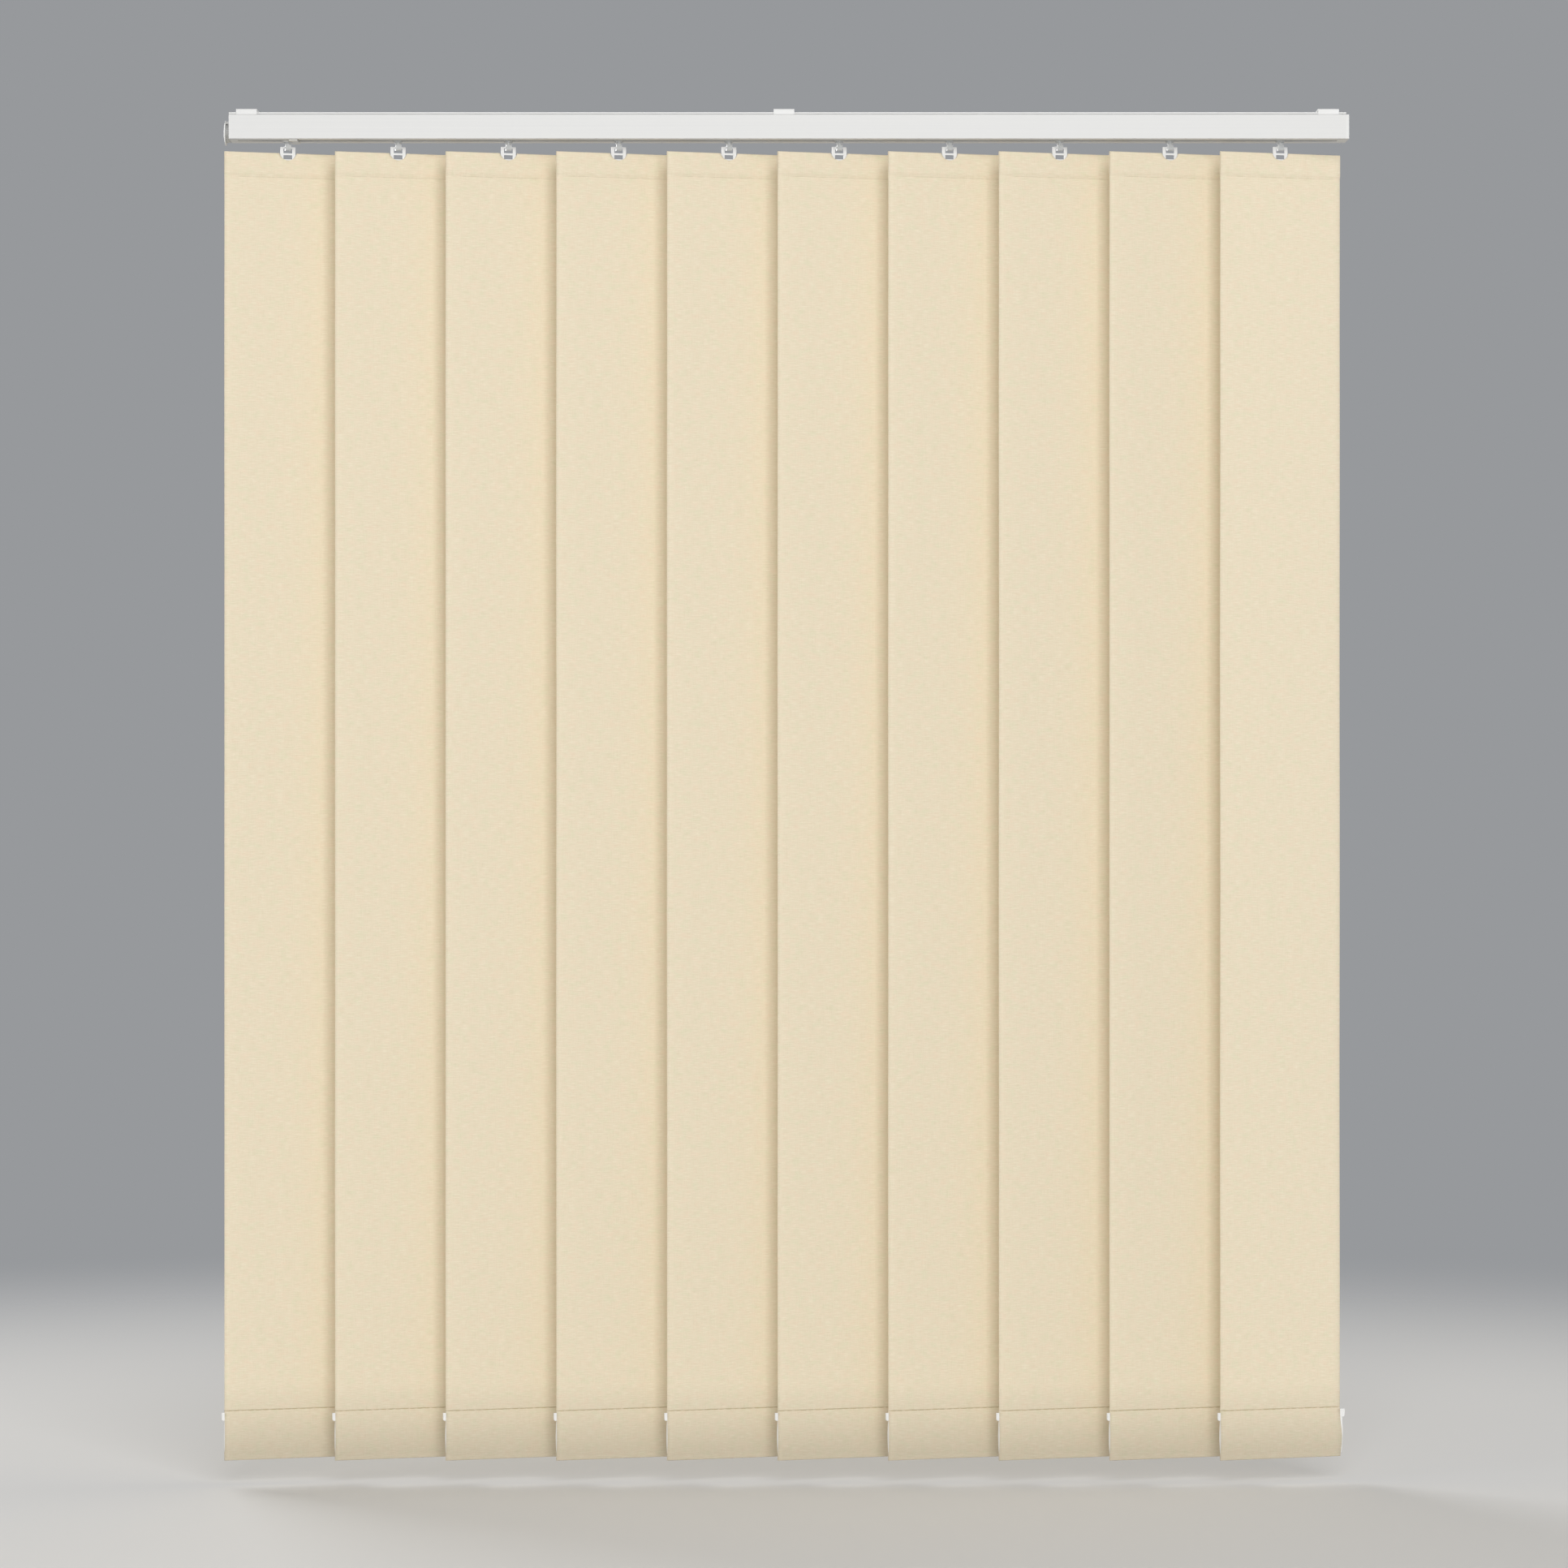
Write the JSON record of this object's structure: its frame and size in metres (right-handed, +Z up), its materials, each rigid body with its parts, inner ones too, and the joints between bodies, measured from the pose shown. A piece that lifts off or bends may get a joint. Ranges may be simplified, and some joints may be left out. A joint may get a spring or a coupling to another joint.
{
  "type": "vertical blind",
  "caption": "Vertical window blind: overlapping fabric louvres on turning hooks, whose carriers slide and tilt together along a slotted ceiling headrail.",
  "frame": {"origin": "on the ceiling plane, in the screw hole of the middle bracket", "axes": "+X along the headrail to the right as seen from the room, +Y away from the room into the window, +Z up"},
  "size_m": [1.111, 0.0419, 1.3317],
  "materials": {
    "white_aluminium": "white powder coat, satin",
    "bare_aluminium": "plain drawn",
    "white_plastic": "moulded, satin",
    "bracket_plastic": "moulded, glossy",
    "grey_plastic": "moulded, ribbed",
    "acetal": "moulded, waxy",
    "clear_plastic": "translucent moulding",
    "hanger_plastic": "moulded, glossy",
    "slat_fabric": "cream slub weave",
    "weight_plastic": "moulded, satin"
  },
  "bodies": {
    "rail": {"headrail": "white_aluminium", "rod_bush": "acetal", "control_plug": "white_plastic", "wheel_cover": "white_plastic", "end_cap": "white_plastic", "bracket_left": "bracket_plastic", "bracket_centre": "bracket_plastic", "bracket_right": "bracket_plastic", "carrier_10": "acetal"},
    "tilt_drive": {"tilt_rod": "bare_aluminium", "chain_wheel": "grey_plastic"},
    "truck_01": {"carrier_01": "acetal"},
    "truck_02": {"carrier_02": "acetal"},
    "truck_03": {"carrier_03": "acetal"},
    "truck_04": {"carrier_04": "acetal"},
    "truck_05": {"carrier_05": "acetal"},
    "truck_06": {"carrier_06": "acetal"},
    "truck_07": {"carrier_07": "acetal"},
    "truck_08": {"carrier_08": "acetal"},
    "truck_09": {"carrier_09": "acetal"},
    "louvre_01": {"hook_01": "clear_plastic", "hanger_01": "hanger_plastic", "slat_01": "slat_fabric", "weight_01": "weight_plastic"},
    "louvre_02": {"hook_02": "clear_plastic", "hanger_02": "hanger_plastic", "slat_02": "slat_fabric", "weight_02": "weight_plastic"},
    "louvre_03": {"hook_03": "clear_plastic", "hanger_03": "hanger_plastic", "slat_03": "slat_fabric", "weight_03": "weight_plastic"},
    "louvre_04": {"hook_04": "clear_plastic", "hanger_04": "hanger_plastic", "slat_04": "slat_fabric", "weight_04": "weight_plastic"},
    "louvre_05": {"hook_05": "clear_plastic", "hanger_05": "hanger_plastic", "slat_05": "slat_fabric", "weight_05": "weight_plastic"},
    "louvre_06": {"hook_06": "clear_plastic", "hanger_06": "hanger_plastic", "slat_06": "slat_fabric", "weight_06": "weight_plastic"},
    "louvre_07": {"hook_07": "clear_plastic", "hanger_07": "hanger_plastic", "slat_07": "slat_fabric", "weight_07": "weight_plastic"},
    "louvre_08": {"hook_08": "clear_plastic", "hanger_08": "hanger_plastic", "slat_08": "slat_fabric", "weight_08": "weight_plastic"},
    "louvre_09": {"hook_09": "clear_plastic", "hanger_09": "hanger_plastic", "slat_09": "slat_fabric", "weight_09": "weight_plastic"},
    "louvre_10": {"hook_10": "clear_plastic", "hanger_10": "hanger_plastic", "slat_10": "slat_fabric", "weight_10": "weight_plastic"}
  },
  "joints": [
    {"name": "traverse_01", "type": "slide", "parent": "rail", "child": "truck_01", "axis": [1, 0, 0], "range_m": [0, 0.819]},
    {"name": "traverse_02", "type": "slide", "parent": "rail", "child": "truck_02", "axis": [1, 0, 0], "range_m": [0, 0.728]},
    {"name": "traverse_03", "type": "slide", "parent": "rail", "child": "truck_03", "axis": [1, 0, 0], "range_m": [0, 0.637]},
    {"name": "traverse_04", "type": "slide", "parent": "rail", "child": "truck_04", "axis": [1, 0, 0], "range_m": [0, 0.546]},
    {"name": "traverse_05", "type": "slide", "parent": "rail", "child": "truck_05", "axis": [1, 0, 0], "range_m": [0, 0.455]},
    {"name": "traverse_06", "type": "slide", "parent": "rail", "child": "truck_06", "axis": [1, 0, 0], "range_m": [0, 0.364]},
    {"name": "traverse_07", "type": "slide", "parent": "rail", "child": "truck_07", "axis": [1, 0, 0], "range_m": [0, 0.273]},
    {"name": "traverse_08", "type": "slide", "parent": "rail", "child": "truck_08", "axis": [1, 0, 0], "range_m": [0, 0.182]},
    {"name": "traverse_09", "type": "slide", "parent": "rail", "child": "truck_09", "axis": [1, 0, 0], "range_m": [0, 0.091]},
    {"name": "tilt_01", "type": "hinge", "parent": "truck_01", "child": "louvre_01", "pos_m": [-0.4905, 0, -0.03], "axis": [0, 0, 1], "range_deg": [0, 146]},
    {"name": "tilt_02", "type": "hinge", "parent": "truck_02", "child": "louvre_02", "pos_m": [-0.3815, 0, -0.03], "axis": [0, 0, 1], "range_deg": [0, 146]},
    {"name": "tilt_03", "type": "hinge", "parent": "truck_03", "child": "louvre_03", "pos_m": [-0.2725, 0, -0.03], "axis": [0, 0, 1], "range_deg": [0, 146]},
    {"name": "tilt_04", "type": "hinge", "parent": "truck_04", "child": "louvre_04", "pos_m": [-0.1635, 0, -0.03], "axis": [0, 0, 1], "range_deg": [0, 146]},
    {"name": "tilt_05", "type": "hinge", "parent": "truck_05", "child": "louvre_05", "pos_m": [-0.0545, 0, -0.03], "axis": [0, 0, 1], "range_deg": [0, 146]},
    {"name": "tilt_06", "type": "hinge", "parent": "truck_06", "child": "louvre_06", "pos_m": [0.0545, 0, -0.03], "axis": [0, 0, 1], "range_deg": [0, 146]},
    {"name": "tilt_07", "type": "hinge", "parent": "truck_07", "child": "louvre_07", "pos_m": [0.1635, 0, -0.03], "axis": [0, 0, 1], "range_deg": [0, 146]},
    {"name": "tilt_08", "type": "hinge", "parent": "truck_08", "child": "louvre_08", "pos_m": [0.2725, 0, -0.03], "axis": [0, 0, 1], "range_deg": [0, 146]},
    {"name": "tilt_09", "type": "hinge", "parent": "truck_09", "child": "louvre_09", "pos_m": [0.3815, 0, -0.03], "axis": [0, 0, 1], "range_deg": [0, 146]},
    {"name": "tilt_10", "type": "hinge", "parent": "rail", "child": "louvre_10", "pos_m": [0.4905, 0, -0.03], "axis": [0, 0, 1], "range_deg": [0, 146]},
    {"name": "wheel_turn", "type": "hinge", "parent": "rail", "child": "tilt_drive", "pos_m": [-0.5495, 0.0072, -0.021], "axis": [1, 0, 0], "range_deg": [0, 1460]}
  ],
  "couplings": [
    {"joint": "traverse_02", "follows": "traverse_01", "ratio": 0.88889},
    {"joint": "traverse_03", "follows": "traverse_01", "ratio": 0.77778},
    {"joint": "traverse_04", "follows": "traverse_01", "ratio": 0.66667},
    {"joint": "traverse_05", "follows": "traverse_01", "ratio": 0.55556},
    {"joint": "traverse_06", "follows": "traverse_01", "ratio": 0.44444},
    {"joint": "traverse_07", "follows": "traverse_01", "ratio": 0.33333},
    {"joint": "traverse_08", "follows": "traverse_01", "ratio": 0.22222},
    {"joint": "traverse_09", "follows": "traverse_01", "ratio": 0.11111},
    {"joint": "tilt_02", "follows": "tilt_01", "ratio": 1},
    {"joint": "tilt_03", "follows": "tilt_01", "ratio": 1},
    {"joint": "tilt_04", "follows": "tilt_01", "ratio": 1},
    {"joint": "tilt_05", "follows": "tilt_01", "ratio": 1},
    {"joint": "tilt_06", "follows": "tilt_01", "ratio": 1},
    {"joint": "tilt_07", "follows": "tilt_01", "ratio": 1},
    {"joint": "tilt_08", "follows": "tilt_01", "ratio": 1},
    {"joint": "tilt_09", "follows": "tilt_01", "ratio": 1},
    {"joint": "tilt_10", "follows": "tilt_01", "ratio": 1},
    {"joint": "wheel_turn", "follows": "tilt_01", "ratio": 10}
  ]
}
